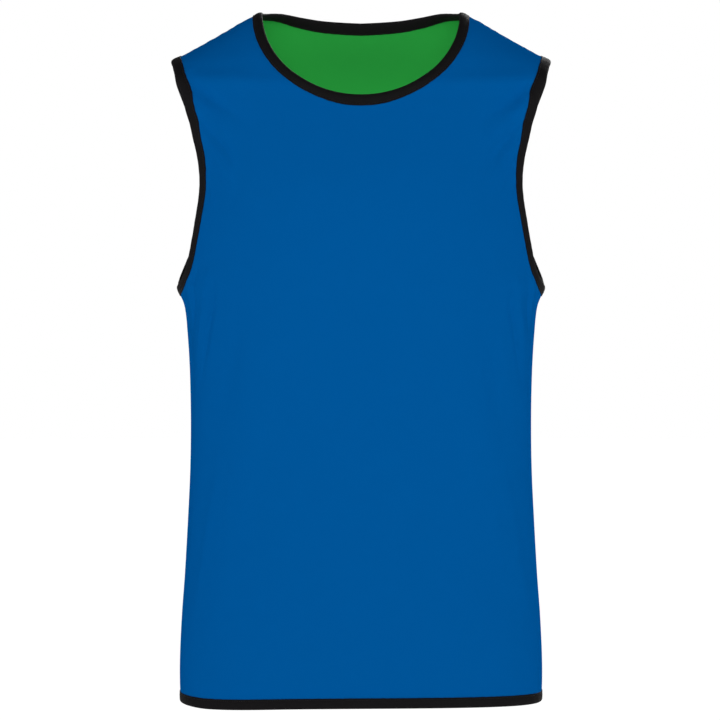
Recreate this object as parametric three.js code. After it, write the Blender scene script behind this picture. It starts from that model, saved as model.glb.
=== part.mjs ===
// A reversible sports bib as it is worn, with no wearer inside: a sleeveless vest of two cloth layers, one
// colour outside and another inside, held together by a binding folded over the neck, armholes and hem.
// Millimetres. +Z is up, -Y is the front, +X is the wearer's left. The origin lies midway between the
// shoulders, level with the middle of the shoulder seams. All four seams lie in the plane y = 0.
import * as THREE from "three";

const cloth = { wall: 1, seamGap: 0.3 };
const binding = { leg: 9.2, wall: 1, gap: 0.3 };
const cells = { centre: 12, strap: 8, body: 12, chest: 8, shoulder: 7 };

const colour = { outside: 0x005397, inside: 0x26913a, edge: 0x121112 };

// The figure that fills the bib, one row for each level: half its width at the seams, its depth to the
// front and to the back, and how square its section is, where 2 is an ellipse
const levels = [
  { z: -700, halfWidth: 184, front: 112, back: 107, square: 4.4 },
  { z: -688, halfWidth: 184.4, front: 110.5, back: 106.5, square: 4.3 },
  { z: -670, halfWidth: 185.8, front: 108.5, back: 105.5, square: 4.1 },
  { z: -642, halfWidth: 185.9, front: 106.5, back: 104, square: 3.8 },
  { z: -600, halfWidth: 184.2, front: 104.5, back: 101.5, square: 3.4 },
  { z: -560, halfWidth: 181.4, front: 103, back: 99, square: 3.2 },
  { z: -500, halfWidth: 178.1, front: 101, back: 95, square: 3.1 },
  { z: -450, halfWidth: 175.9, front: 100.5, back: 92, square: 3 },
  { z: -400, halfWidth: 175.4, front: 101, back: 92, square: 2.9 },
  { z: -350, halfWidth: 176.4, front: 103, back: 95, square: 2.8 },
  { z: -310, halfWidth: 178.8, front: 106, back: 98, square: 2.75 },
  { z: -282, halfWidth: 182, front: 108.5, back: 101.5, square: 2.65 },
  { z: -262, halfWidth: 189, front: 110, back: 104, square: 2.5 },
  { z: -240, halfWidth: 187.4, front: 111, back: 107, square: 2.45 },
  { z: -200, halfWidth: 181.5, front: 111, back: 110, square: 2.45 },
  { z: -160, halfWidth: 180.8, front: 107, back: 110, square: 2.4 },
  { z: -130, halfWidth: 187, front: 100, back: 107, square: 2.45 },
  { z: -100, halfWidth: 204, front: 92, back: 103, square: 2.4 },
  { z: -70, halfWidth: 226, front: 84, back: 97, square: 2.3 },
  { z: -50, halfWidth: 228, front: 77.5, back: 92.5, square: 2.2 },
  { z: -34, halfWidth: 206, front: 71, back: 88.5, square: 2.2 },
  { z: -20, halfWidth: 179.5, front: 64, back: 84, square: 2.2 },
  { z: 0, halfWidth: 143.8, front: 52, back: 77, square: 2.2 },
  { z: 12, halfWidth: 123.6, front: 44, back: 72, square: 2.2 },
  { z: 21, halfWidth: 105.2, front: 37, back: 68, square: 2.2 },
  { z: 26, halfWidth: 91, front: 32.5, back: 65, square: 2.2 },
  { z: 32, halfWidth: 70, front: 27, back: 59, square: 2.2 },
];
const shoulderLevels = levels.filter((level) => level.z >= -50);

// The cut edge of the hem, from the wearer's right to the left
const hemEdge = [
  { x: -190, z: -686.5 },
  { x: -155, z: -689.6 },
  { x: -60, z: -688.3 },
  { x: 60, z: -687.8 },
  { x: 190, z: -686.5 },
];

// The cut edge of the neck: an oval in front, and a shallow line behind, given from the centre to a seam
const neck = { halfWidth: 105.2, frontZ: -71.7 };
const neckBack = [
  { x: 0, z: 15.9 },
  { x: 21, z: 16.8 },
  { x: 43, z: 18.3 },
  { x: 64, z: 20.6 },
  { x: 85, z: 22.7 },
  { x: 105.2, z: 21 },
];

// The neck's binding is narrower at the sides, and narrows between these shares of the neck's half width
const neckSideLeg = 7.4;
const neckNarrows = { front: { from: 0.1, to: 0.5 }, back: { from: 0.8, to: 1 } };

// The cut edge of an armhole seen from the side, from the underarm up the front and down the back
const armhole = [
  { y: 0, z: -262 },
  { y: -25, z: -260.8 },
  { y: -43, z: -253.2 },
  { y: -50.7, z: -238.5 },
  { y: -53.5, z: -217 },
  { y: -55.5, z: -190 },
  { y: -56.5, z: -155 },
  { y: -57.5, z: -120 },
  { y: -58, z: -90 },
  { y: -56, z: -67 },
  { y: -47.5, z: -49.5 },
  { y: -35.5, z: -38 },
  { y: -19, z: -30.5 },
  { y: 0, z: -27.5 },
  { y: 24, z: -31 },
  { y: 44, z: -40 },
  { y: 57, z: -54 },
  { y: 64, z: -76 },
  { y: 65, z: -110 },
  { y: 63, z: -145 },
  { y: 59, z: -177 },
  { y: 52, z: -205 },
  { y: 42, z: -227 },
  { y: 30, z: -244 },
  { y: 16, z: -256.5 },
];
const shoulderRow = armhole.findIndex((row) => row.y === 0 && row.z > armhole[0].z);

// Places inside the openings, which the bindings' legs lead away from
const insideNeck = new THREE.Vector3(0, 0, 60);
const insideArmhole = new THREE.Vector3(190, 0, -150);

// The largest soft folds. Each runs from one place to another, given by degrees round from the centre
// line and by height, and raises the cloth by its height, or sinks it where that is negative
const folds = [
  { side: "front", around: -33, z: -300, toAround: -50, toZ: -650, width: 17, height: 2.6 },
  { side: "front", around: 33, z: -310, toAround: 51, toZ: -640, width: 17, height: 2.4 },
  { side: "front", around: -70, z: -250, toAround: -72, toZ: -430, width: 12, height: -2.2 },
  { side: "front", around: 69, z: -250, toAround: 73, toZ: -420, width: 12, height: -2.2 },
  { side: "front", around: -53, z: -100, toAround: -30, toZ: -190, width: 12, height: 1.8 },
  { side: "front", around: 53, z: -105, toAround: 31, toZ: -195, width: 12, height: 1.8 },
  { side: "back", around: -38, z: -240, toAround: -47, toZ: -600, width: 18, height: 2.8 },
  { side: "back", around: 36, z: -260, toAround: 48, toZ: -620, width: 18, height: 2.6 },
  { side: "back", around: -12, z: -330, toAround: -20, toZ: -640, width: 20, height: 2.2 },
  { side: "back", around: 14, z: -350, toAround: 19, toZ: -620, width: 20, height: 2 },
  { side: "back", around: -72, z: -255, toAround: -70, toZ: -430, width: 12, height: -2.2 },
  { side: "back", around: 71, z: -255, toAround: 72, toZ: -420, width: 12, height: -2.2 },
];
const mmPerDegree = 2.8;

const samples = 240;
const tolerance = 1e-3;

// A curve's value between b and c, a share t of the way, from the slopes at both
function curveBetween(b, c, slopeB, slopeC, t) {
  return b + t * (slopeB + t * (3 * (c - b) - 2 * slopeB - slopeC + t * (2 * (b - c) + slopeB + slopeC)));
}

// One column of a table, read smoothly between its rows, which stand in order of the column named by
function read(rows, by, at, column) {
  let i = 0;
  while (i < rows.length - 2 && rows[i + 1][by] < at) i += 1;
  const step = rows[i + 1][by] - rows[i][by];
  const share = THREE.MathUtils.clamp((at - rows[i][by]) / step, 0, 1);
  const slopes = [i, i + 1].map((k) => {
    const before = rows[Math.max(k - 1, 0)];
    const after = rows[Math.min(k + 1, rows.length - 1)];
    return (step * (after[column] - before[column])) / (after[by] - before[by]);
  });
  return curveBetween(rows[i][column], rows[i + 1][column], slopes[0], slopes[1], share);
}

function levelAt(z) {
  const columns = ["halfWidth", "front", "back", "square"];
  return Object.fromEntries(columns.map((column) => [column, read(levels, "z", z, column)]));
}

function reachOf(level, y) {
  return y > 0 ? level.back : level.front;
}

function fullness(x, y, z) {
  const level = levelAt(z);
  const reach = reachOf(level, y);
  return (Math.abs(x) / level.halfWidth) ** level.square + (Math.abs(y) / reach) ** level.square;
}

// The nearest place on the figure at the same height, straight out from its middle
function onFigure(point) {
  const scale = fullness(point.x, point.y, point.z) ** (-1 / levelAt(point.z).square);
  return new THREE.Vector3(point.x * scale, point.y * scale, point.z);
}

// The place on the figure at a height and a distance from the centre line
function onSide(side, x, z) {
  const level = levelAt(z);
  const left = Math.max(0, 1 - (Math.abs(x) / level.halfWidth) ** level.square) ** (1 / level.square);
  return new THREE.Vector3(x, left * (side === "front" ? -level.front : level.back), z);
}

function normalAt({ x, y, z }) {
  const level = levelAt(z);
  const reach = reachOf(level, y);
  const power = level.square - 1;
  const climb = 0.5;
  return new THREE.Vector3(
    (Math.sign(x) * level.square * (Math.abs(x) / level.halfWidth) ** power) / level.halfWidth,
    (Math.sign(y) * level.square * (Math.abs(y) / reach) ** power) / reach,
    (fullness(x, y, z + climb) - fullness(x, y, z - climb)) / (2 * climb),
  ).normalize();
}

// How far the soft folds lift the cloth at a point of the front or back
function foldAt(side, point) {
  const level = levelAt(point.z);
  const reach = side === "front" ? level.front : level.back;
  const around = THREE.MathUtils.radToDeg(Math.atan2(point.x / level.halfWidth, Math.abs(point.y) / reach));
  let lift = 0;
  for (const fold of folds.filter((row) => row.side === side)) {
    const run = new THREE.Vector2((fold.toAround - fold.around) * mmPerDegree, fold.toZ - fold.z);
    const here = new THREE.Vector2((around - fold.around) * mmPerDegree, point.z - fold.z);
    const share = THREE.MathUtils.clamp(here.dot(run) / run.lengthSq(), 0, 1);
    const off = here.cross(run) / run.length();
    lift += fold.height * Math.exp(-((off / fold.width) ** 2)) * Math.sin(Math.PI * share);
  }
  return lift;
}

// Points along a line, an equal way apart where it is straight and closer where it bends
function spaced(line, count) {
  const wayPerRadian = 60;
  const way = [0];
  for (let i = 1; i < line.length; i += 1) {
    const run = line[i].clone().sub(line[i - 1]);
    const next = line[Math.min(i + 1, line.length - 1)].clone().sub(line[i]);
    const bend = next.lengthSq() > 0 && run.lengthSq() > 0 ? run.angleTo(next) : 0;
    way.push(way[i - 1] + run.length() + wayPerRadian * bend);
  }
  const points = [];
  let place = 0;
  for (let i = 0; i <= count; i += 1) {
    const wanted = (way.at(-1) * i) / count;
    while (place < line.length - 2 && way[place + 1] < wanted) place += 1;
    const share = (wanted - way[place]) / (way[place + 1] - way[place]);
    points.push(onFigure(line[place].clone().lerp(line[place + 1], share)));
  }
  points[0].y = 0;
  points[count].y = 0;
  return points;
}

// Height of the shoulder seam at a distance from the centre line
function ridgeAt(x) {
  return read(shoulderLevels.toReversed(), "halfWidth", x, "z");
}

// The cut edge of the neck, from the shoulder seam at the wearer's right to that at the left
function neckEdge(side, count) {
  const top = neckBack.at(-1).z;
  const line = [];
  for (let i = 0; i <= samples; i += 1) {
    const turn = Math.PI * (0.5 - 0.5 * Math.cos((Math.PI * i) / samples));
    const x = -neck.halfWidth * Math.cos(turn);
    const oval = top + (neck.frontZ - top) * Math.sin(turn);
    line.push(onSide(side, x, side === "front" ? oval : read(neckBack, "x", Math.abs(x), "z")));
  }
  return spaced(line, count);
}

// The cut edge of an armhole on the front or the back, from the underarm to the shoulder seam
function armholeEdge(side, hand, count) {
  const rows = armhole.length;
  const from = side === "front" ? 0 : rows;
  const line = [];
  for (let i = 0; i <= samples; i += 1) {
    const place = from + ((shoulderRow - from) * i) / samples;
    const row = Math.min(Math.floor(place), rows - 1);
    const [a, b, c, d] = [-1, 0, 1, 2].map((step) => armhole[(row + step + rows) % rows]);
    const [y, z] = ["y", "z"].map((column) => {
      const slopes = [(c[column] - a[column]) / 2, (d[column] - b[column]) / 2];
      return curveBetween(b[column], c[column], ...slopes, place - row);
    });
    const level = levelAt(z);
    const left = (1 - (Math.abs(y) / reachOf(level, y)) ** level.square) ** (1 / level.square);
    line.push(new THREE.Vector3(hand * level.halfWidth * left, y, z));
  }
  return spaced(line, count);
}

// The line on the cloth that a binding's leg reaches from a cut edge, away from the middle of the opening
function setIn(edge, middle, legAt) {
  const last = edge.length - 1;
  return edge.map((point, i) => {
    const run = edge[Math.min(i + 1, last)].clone().sub(edge[Math.max(i - 1, 0)]);
    if (i === 0 || i === last) run.set(0, 1, 0);
    const step = run.cross(normalAt(point)).normalize();
    if (step.dot(point.clone().sub(middle)) < 0) step.negate();
    return onFigure(point.clone().addScaledVector(step, legAt(point)));
  });
}

// Points round half a level section, from the wearer's right seam to the left
function halfRing(side, z, count) {
  const line = [];
  for (let i = 0; i <= samples; i += 1) {
    const turn = (Math.PI * i) / samples;
    const spread = levelAt(z);
    const deep = Math.sin(turn) * (side === "front" ? -spread.front : spread.back);
    line.push(onFigure(new THREE.Vector3(-Math.cos(turn) * spread.halfWidth, deep, z)));
  }
  return spaced(line, count);
}

function straightOnFigure(from, to, count) {
  const line = [];
  for (let i = 0; i <= count; i += 1) line.push(onFigure(from.clone().lerp(to, i / count)));
  return line;
}

function shoulderSeam(from, to, count) {
  const line = [];
  for (let i = 0; i <= count; i += 1) {
    const x = THREE.MathUtils.lerp(from.x, to.x, i / count);
    line.push(onFigure(new THREE.Vector3(x, 0, ridgeAt(Math.abs(x)))));
  }
  line[0].copy(from);
  line[count].copy(to);
  return line;
}

// A patch between four lines that meet at their ends: bottom and top run across, left and right run up
function patch(bottom, top, left, right) {
  const lastRow = left.length - 1;
  const lastColumn = bottom.length - 1;
  return left.map((_, j) =>
    bottom.map((__, i) => {
      const u = i / lastColumn;
      const v = j / lastRow;
      const sum = new THREE.Vector3()
        .addScaledVector(bottom[i], 1 - v)
        .addScaledVector(top[i], v)
        .addScaledVector(left[j], 1 - u)
        .addScaledVector(right[j], u)
        .addScaledVector(bottom[0], -(1 - u) * (1 - v))
        .addScaledVector(bottom[lastColumn], -u * (1 - v))
        .addScaledVector(top[0], -(1 - u) * v)
        .addScaledVector(top[lastColumn], -u * v);
      return onFigure(sum);
    }),
  );
}

function neckOf(side) {
  const cut = neckEdge(side, cells.centre + 2 * cells.shoulder);
  const legAt = (point) => {
    const { from, to } = neckNarrows[side];
    const narrowed = THREE.MathUtils.smoothstep(Math.abs(point.x) / neck.halfWidth, from, to);
    return THREE.MathUtils.lerp(binding.leg, neckSideLeg, narrowed);
  };
  return { cut, line: setIn(cut, insideNeck, legAt) };
}

function armOf(side, hand) {
  const cut = armholeEdge(side, hand, cells.chest + cells.shoulder);
  const middle = insideArmhole.clone().setX(hand * insideArmhole.x);
  return { cut, line: setIn(cut, middle, () => binding.leg) };
}

// One side of the bib as patches of points that share their edges, with its cut edges
function layOut(side) {
  const { centre, strap, body, chest, shoulder } = cells;
  const across = centre + 2 * strap;
  const neckPart = neckOf(side);
  const arms = [-1, 1].map((hand) => armOf(side, hand));
  const waist = halfRing(side, arms[0].line[0].z, across);
  waist[0].copy(arms[0].line[0]);
  waist[across].copy(arms[1].line[0]);

  const straps = [
    straightOnFigure(arms[0].line[chest], neckPart.line[shoulder], strap),
    straightOnFigure(neckPart.line[shoulder + centre], arms[1].line[chest], strap),
  ];
  const neckFront = neckPart.line.slice(shoulder, shoulder + centre + 1);
  const chestTop = [...straps[0].slice(0, -1), ...neckFront, ...straps[1].slice(1)];
  const armFeet = arms.map((arm) => arm.line.slice(0, chest + 1));
  const armTops = arms.map((arm) => arm.line.slice(chest));
  const seams = [
    shoulderSeam(arms[0].line.at(-1), neckPart.line[0], strap),
    shoulderSeam(neckPart.line.at(-1), arms[1].line.at(-1), strap),
  ];
  const hemCut = halfRing(side, hemEdge[0].z, across).map((p) =>
    onFigure(p.clone().setZ(read(hemEdge, "x", p.x, "z"))),
  );
  const hemLine = hemCut.map((p) => onFigure(p.clone().setZ(p.z + binding.leg)));
  const bodyRows = [hemLine];
  for (let j = 1; j < body; j += 1) {
    const share = j / body;
    const ring = halfRing(side, THREE.MathUtils.lerp(hemLine[0].z, waist[0].z, share), across);
    bodyRows.push(
      ring.map((p, i) => onFigure(p.clone().setZ(THREE.MathUtils.lerp(hemLine[i].z, waist[i].z, share)))),
    );
  }
  bodyRows.push(waist);
  return {
    neck: neckPart,
    arms,
    hem: { cut: hemCut, line: hemLine },
    blocks: [
      bodyRows,
      patch(waist, chestTop, armFeet[0], armFeet[1]),
      patch(straps[0], seams[0], armTops[0], neckPart.line.slice(0, shoulder + 1).toReversed()),
      patch(straps[1], seams[1], neckPart.line.slice(shoulder + centre), armTops[1]),
      [hemCut, hemLine],
      [neckPart.line, neckPart.cut],
      [arms[0].line, arms[0].cut],
      [arms[1].cut, arms[1].line],
    ],
  };
}

// Where the middle between the two layers lies at a point, and which way its outside faces
function clothAt(side, point) {
  const outward = normalAt(point);
  return { outward, middle: point.clone().addScaledVector(outward, foldAt(side, point)) };
}

// Two triangles for a cell, cut along its shorter diagonal
function split([a, b, c, d]) {
  return a.distanceTo(c) < b.distanceTo(d) ? [[0, 1, 2], [0, 2, 3]] : [[0, 1, 3], [1, 2, 3]];
}

function volumeOf(points, faces) {
  let sum = 0;
  for (const [a, b, c] of faces) sum += points[a].dot(points[b].clone().cross(points[c])) / 6;
  return sum;
}

function solid(points, faces) {
  const outFacing = volumeOf(points, faces) < 0 ? faces.map(([a, b, c]) => [a, c, b]) : faces;
  const geometry = new THREE.BufferGeometry().setFromPoints(points);
  geometry.setIndex(outFacing.flat());
  geometry.computeVertexNormals();
  return geometry;
}

// One layer of cloth: a closed wall between two distances out from the middle, drawn back from the seams
function layer(side, blocks, outer, inner) {
  const drawnBack = (side === "front" ? -1 : 1) * (cloth.seamGap / 2);
  const numbers = new Map();
  const outerPoints = [];
  const innerPoints = [];
  const numberOf = (point) => {
    const key = point.toArray().map((value) => Math.round(value / tolerance)).join();
    if (!numbers.has(key)) {
      const { outward, middle } = clothAt(side, point);
      if (Math.abs(point.y) < tolerance) middle.y += drawnBack;
      numbers.set(key, outerPoints.length);
      outerPoints.push(middle.clone().addScaledVector(outward, outer));
      innerPoints.push(middle.clone().addScaledVector(outward, inner));
    }
    return numbers.get(key);
  };
  const skin = [];
  const rim = new Map();
  for (const rows of blocks) {
    for (let j = 0; j + 1 < rows.length; j += 1) {
      for (let i = 0; i + 1 < rows[j].length; i += 1) {
        const corners = [rows[j][i], rows[j][i + 1], rows[j + 1][i + 1], rows[j + 1][i]];
        const numbered = corners.map(numberOf);
        for (const [a, b, c] of split(corners).map((three) => three.map((corner) => numbered[corner]))) {
          skin.push([a, b, c]);
          for (const [from, to] of [[a, b], [b, c], [c, a]]) {
            if (!rim.delete(`${to} ${from}`)) rim.set(`${from} ${to}`, [from, to]);
          }
        }
      }
    }
  }
  const count = outerPoints.length;
  const under = skin.map(([a, b, c]) => [a + count, c + count, b + count]);
  const edge = [...rim.values()].flatMap(([a, b]) => [[b, a, a + count], [b, a + count, b + count]]);
  return solid([...outerPoints, ...innerPoints], [...skin, ...under, ...edge]);
}

// A binding folded over a cut edge that closes on itself, whose legs reach from the edge to a line
function foldedBinding(front, back) {
  const near = cloth.wall + cloth.seamGap / 2 + binding.gap;
  const far = near + binding.wall;
  const beyond = binding.gap + binding.wall;
  const placesOn = (side, { cut, line }) => cut.map((point, i) => ({ side, cut: point, line: line[i] }));
  const places = [...placesOn("front", front), ...placesOn("back", back).toReversed().slice(1, -1)];
  const sections = places.map(({ side, cut, line }) => {
    const edge = clothAt(side, cut);
    const foot = clothAt(side, line);
    const out = edge.middle.clone().sub(foot.middle).normalize();
    const atEdge = (past, height) =>
      edge.middle.clone().addScaledVector(out, past).addScaledVector(edge.outward, height);
    const atFoot = (height) => foot.middle.clone().addScaledVector(foot.outward, height);
    return [
      { base: line, point: atFoot(far) },
      { base: cut, point: atEdge(binding.gap, far) },
      { base: cut, point: atEdge(beyond, near - binding.gap) },
      { base: cut, point: atEdge(beyond, binding.gap - near) },
      { base: cut, point: atEdge(binding.gap, -far) },
      { base: line, point: atFoot(-far) },
      { base: line, point: atFoot(-near) },
      { base: cut, point: atEdge(binding.gap, -near) },
      { base: cut, point: atEdge(binding.gap, near) },
      { base: line, point: atFoot(near) },
    ];
  });
  const size = sections[0].length;
  const faces = [];
  sections.forEach((section, k) => {
    const following = (k + 1) % sections.length;
    const next = sections[following];
    for (let i = 0; i < size; i += 1) {
      const j = (i + 1) % size;
      const numbered = [k * size + i, k * size + j, following * size + j, following * size + i];
      const corners = [section[i].base, section[j].base, next[j].base, next[i].base];
      faces.push(...split(corners).map((three) => three.map((corner) => numbered[corner])));
    }
  });
  return solid(sections.flat().map((place) => place.point), faces);
}

const bib = new THREE.Group();

function addPiece(name, geometry, color) {
  const material = new THREE.MeshStandardMaterial({ color, roughness: 0.75, metalness: 0 });
  const mesh = new THREE.Mesh(geometry, material);
  mesh.name = name;
  bib.add(mesh);
}

const parts = { front: layOut("front"), back: layOut("back") };
const innerFace = cloth.seamGap / 2;
const outerFace = innerFace + cloth.wall;
for (const [side, { blocks }] of Object.entries(parts)) {
  addPiece(`outer_${side}`, layer(side, blocks, outerFace, innerFace), colour.outside);
  addPiece(`inner_${side}`, layer(side, blocks, -innerFace, -outerFace), colour.inside);
}
addPiece("neck_binding", foldedBinding(parts.front.neck, parts.back.neck), colour.edge);
addPiece("armhole_binding_right", foldedBinding(parts.front.arms[0], parts.back.arms[0]), colour.edge);
addPiece("armhole_binding_left", foldedBinding(parts.front.arms[1], parts.back.arms[1]), colour.edge);
addPiece("hem_binding", foldedBinding(parts.front.hem, parts.back.hem), colour.edge);

export default bib;
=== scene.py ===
import math
import bmesh
import bpy
import numpy as np
from mathutils import Matrix, Vector
from mathutils.kdtree import KDTree


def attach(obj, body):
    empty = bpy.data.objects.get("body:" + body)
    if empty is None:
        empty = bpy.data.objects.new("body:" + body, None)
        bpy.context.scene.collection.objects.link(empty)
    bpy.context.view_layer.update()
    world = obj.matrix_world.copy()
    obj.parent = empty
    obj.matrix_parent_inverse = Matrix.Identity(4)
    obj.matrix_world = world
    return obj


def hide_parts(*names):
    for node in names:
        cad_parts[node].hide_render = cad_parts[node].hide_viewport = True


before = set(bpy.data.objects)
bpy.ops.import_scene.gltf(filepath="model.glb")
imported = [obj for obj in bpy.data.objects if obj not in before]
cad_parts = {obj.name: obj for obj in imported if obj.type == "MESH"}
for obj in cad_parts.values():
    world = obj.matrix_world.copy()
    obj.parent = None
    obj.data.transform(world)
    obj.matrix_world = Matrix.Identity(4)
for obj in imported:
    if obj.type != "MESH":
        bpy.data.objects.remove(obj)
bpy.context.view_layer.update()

print("frame loaded:", len(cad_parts), "nodes")

# Camera, level with the middle of the bib and straight in front of it
shot = {
    "distance": 3.4,
    "aimX": -0.00104,
    "aimZ": -0.338,
    "widthAtBib": 0.7488,    # what 720 pixels take in, in the plane of the side seams
    "sensor": 36.0,
}
cameraData = bpy.data.cameras.new("camera")
cameraData.sensor_width = shot["sensor"]
cameraData.lens = shot["sensor"] * shot["distance"] / shot["widthAtBib"]
camera = bpy.data.objects.new("camera", cameraData)
bpy.context.scene.collection.objects.link(camera)
camera.location = (shot["aimX"], -shot["distance"], shot["aimZ"])
camera.rotation_euler = (math.radians(90), 0, 0)
bpy.context.scene.camera = camera

# The figure that fills the bib, in millimetres: height, half width at the seams, depth to the front
# and to the back, and how square the section is
levels = np.array([
    (-700, 184, 112, 107, 4.4),
    (-688, 184.4, 110.5, 106.5, 4.3),
    (-670, 185.8, 108.5, 105.5, 4.1),
    (-642, 185.9, 106.5, 104, 3.8),
    (-600, 184.2, 104.5, 101.5, 3.4),
    (-560, 181.4, 103, 99, 3.2),
    (-500, 178.1, 101, 95, 3.1),
    (-450, 175.9, 100.5, 92, 3),
    (-400, 175.4, 101, 92, 2.9),
    (-350, 176.4, 103, 95, 2.8),
    (-310, 178.8, 106, 98, 2.75),
    (-282, 182, 108.5, 101.5, 2.65),
    (-262, 189, 110, 104, 2.5),
    (-240, 188.2, 111, 107, 2.45),
    (-200, 183, 111, 110, 2.45),
    (-160, 180.8, 107, 110, 2.4),
    (-130, 187, 100, 107, 2.45),
    (-100, 204, 92, 103, 2.4),
    (-70, 226, 84, 97, 2.3),
    (-50, 228, 77.5, 92.5, 2.2),
    (-34, 206, 71, 88.5, 2.2),
    (-20, 179.5, 64, 84, 2.2),
    (0, 143.8, 52, 77, 2.2),
    (12, 123.6, 44, 72, 2.2),
    (21, 105.2, 37, 68, 2.2),
    (26, 91, 32.5, 65, 2.2),
    (32, 70, 27, 59, 2.2),
])
hemEdge = np.array([(-190, -686.5), (-155, -689.6), (-60, -688.3), (60, -687.4), (190, -686.2)])
neckHalfWidth, neckFrontZ = 105.2, -71.7
neckBack = np.array([(0, 15.9), (21, 16.8), (43, 18.3), (64, 21), (85, 23.5), (105.2, 21)])
# The cut edge of an armhole from the side, from the underarm up the front and down the back: y and z
armhole = np.array([
    (0, -262), (-25, -260.8), (-43, -253.2), (-50.7, -238.5), (-53.5, -217), (-55.5, -190), (-56.5, -155),
    (-57.5, -120), (-58, -90), (-56, -67), (-47.5, -49.5), (-35.5, -38), (-19, -30.5), (0, -27.5), (24, -31),
    (44, -40), (57, -54), (64, -76), (65, -110), (63, -145), (59, -177), (52, -205), (42, -227), (30, -244),
    (16, -256.5),
])
shoulderRow = 13
shoulderTop = levels[levels[:, 0] >= -50][::-1]
metre = 0.001


def easeBetween(b, c, slopeB, slopeC, t):
    return b + t * (slopeB + t * (3 * (c - b) - 2 * slopeB - slopeC + t * (2 * (b - c) + slopeB + slopeC)))


# A smooth curve through the rows of a table
def readCurve(xs, ys, at):
    i = np.clip(np.searchsorted(xs, at, side="left") - 1, 0, len(xs) - 2)
    before, after = np.maximum(i - 1, 0), np.minimum(i + 2, len(xs) - 1)
    step = xs[i + 1] - xs[i]
    slopeB = step * (ys[i + 1] - ys[before]) / (xs[i + 1] - xs[before])
    slopeC = step * (ys[after] - ys[i]) / (xs[after] - xs[i])
    return easeBetween(ys[i], ys[i + 1], slopeB, slopeC, np.clip((at - xs[i]) / step, 0, 1))


def levelAt(z):
    return [readCurve(levels[:, 0], levels[:, column], z) for column in (1, 2, 3, 4)]


def fullness(x, y, z):
    halfWidth, front, back, square = levelAt(z)
    reach = np.where(y > 0, back, front)
    return (np.abs(x) / halfWidth) ** square + (np.abs(y) / reach) ** square


def onFigure(points):
    square = levelAt(points[..., 2])[3]
    scale = fullness(points[..., 0], points[..., 1], points[..., 2]) ** (-1 / square)
    return np.stack([points[..., 0] * scale, points[..., 1] * scale, points[..., 2]], -1)


def unit(vectors):
    return vectors / np.maximum(np.linalg.norm(vectors, axis=-1, keepdims=True), 1e-9)


def normalAt(points):
    x, y, z = points[..., 0], points[..., 1], points[..., 2]
    halfWidth, front, back, square = levelAt(z)
    reach = np.where(y > 0, back, front)
    climb = 0.5
    return unit(np.stack([
        np.sign(x) * square * (np.abs(x) / halfWidth) ** (square - 1) / halfWidth,
        np.sign(y) * square * (np.abs(y) / reach) ** (square - 1) / reach,
        (fullness(x, y, z + climb) - fullness(x, y, z - climb)) / (2 * climb),
    ], -1))


# Soft folds and creases: from and to, each as degrees round from the centre line and height, then half width,
# height, and where along the run it is strongest
frontFolds = [
    (-33, -300, -50, -650, 17, 2.6, 0.5), (33, -310, 51, -640, 17, 2.4, 0.5),
    (-70, -250, -72, -430, 12, -2.2, 0.5), (69, -250, 73, -420, 12, -2.2, 0.5),
    (-53, -100, -30, -190, 12, 1.8, 0.5), (53, -105, 31, -195, 12, 1.8, 0.5),
]
backFolds = [
    (-38, -240, -47, -600, 14, 3.8, 0.5), (36, -260, 48, -620, 14, 3.5, 0.5),
    (-12, -330, -20, -640, 13, 2.9, 0.5), (14, -350, 19, -620, 14, 2.6, 0.5),
    (-72, -255, -70, -430, 12, -2.2, 0.5), (71, -255, 72, -420, 12, -2.2, 0.5),
]
frontCreases = [
    # the bend over the collarbones
    (-66, -50, -4, -58, 9, 3, 0.5), (66, -50, 4, -58, 9, 3, 0.5),
    # pulls from the armholes across the chest
    (-51, -40, -31, -104, 6.2, -4.2, 0.45), (-48, -66, -37, -124, 4.2, 1.3, 0.45),
    (-50, -86, -37, -164, 4.2, -2.1, 0.42), (-52, -100, -40, -174, 4, 1.2, 0.5),
    (-54, -118, -45, -174, 3.8, -1.3, 0.45), (-57, -138, -47, -204, 4, 1, 0.45),
    (51, -42, 32, -106, 6, -4, 0.45), (48, -68, 36, -126, 4.2, 1.2, 0.45),
    (50, -88, 38, -168, 4.4, -2, 0.42), (52, -104, 41, -176, 4, 1.1, 0.5),
    (54, -122, 45, -178, 3.8, -1.2, 0.45), (57, -142, 47, -206, 4.2, 0.9, 0.45),
    # drapes below the underarms
    (-47, -256, -60, -376, 4.2, -2.6, 0.35), (-49, -238, -64, -350, 4.4, 1.5, 0.4),
    (-55, -236, -70, -340, 4.2, -1.9, 0.4), (-62, -246, -70, -325, 3.6, 1.1, 0.4),
    (-36, -262, -48, -420, 7.5, -1.5, 0.5),
    (48, -260, 61, -384, 4.3, -2.5, 0.35), (50, -240, 65, -356, 4.2, 1.5, 0.4),
    (56, -240, 70, -346, 4.2, -1.8, 0.4), (62, -250, 71, -330, 3.4, 1.1, 0.4),
    (37, -268, 48, -426, 7.2, -1.5, 0.5),
    # long soft ridges down to the hem
    (-43, -380, -57, -630, 8, 1.8, 0.5), (44, -386, 57, -636, 8, 1.7, 0.5),
]
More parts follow.
